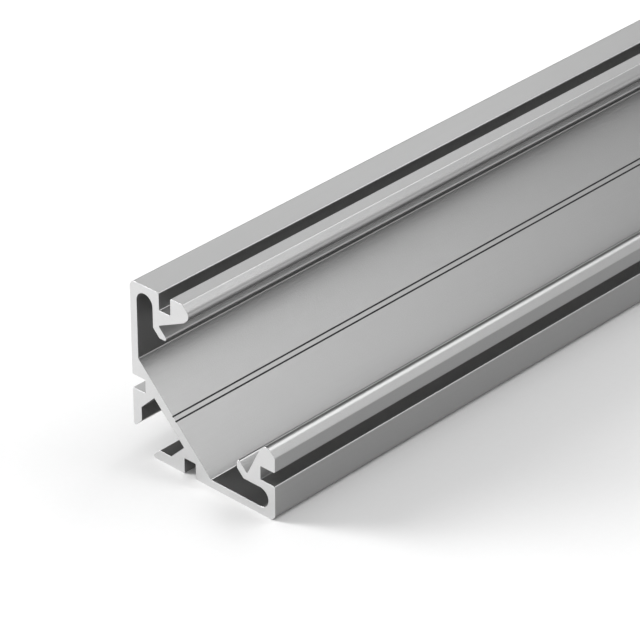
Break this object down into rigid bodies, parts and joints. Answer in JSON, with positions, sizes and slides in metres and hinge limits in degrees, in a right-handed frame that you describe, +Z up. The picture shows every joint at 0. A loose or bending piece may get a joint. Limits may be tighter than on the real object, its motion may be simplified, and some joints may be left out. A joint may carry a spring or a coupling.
{
  "type": "corner led strip profile",
  "caption": "Aluminium corner extrusion with equal legs, a slanted seat for an LED strip, hooked heads for a snap-in cover and a rear clip channel.",
  "frame": {"origin": "centre of the bounding box, at the bottom, where the lying leg rests on the floor", "axes": "+Y along the stock's length, away from the end shown in the picture; +Z up along the standing leg; +X across, from the standing leg towards the end of the lying leg"},
  "size_m": [0.03, 1, 0.03],
  "materials": {
    "anodised_aluminium": "satin"
  },
  "bodies": {
    "root": {"profile": "anodised_aluminium"}
  },
  "joints": []
}
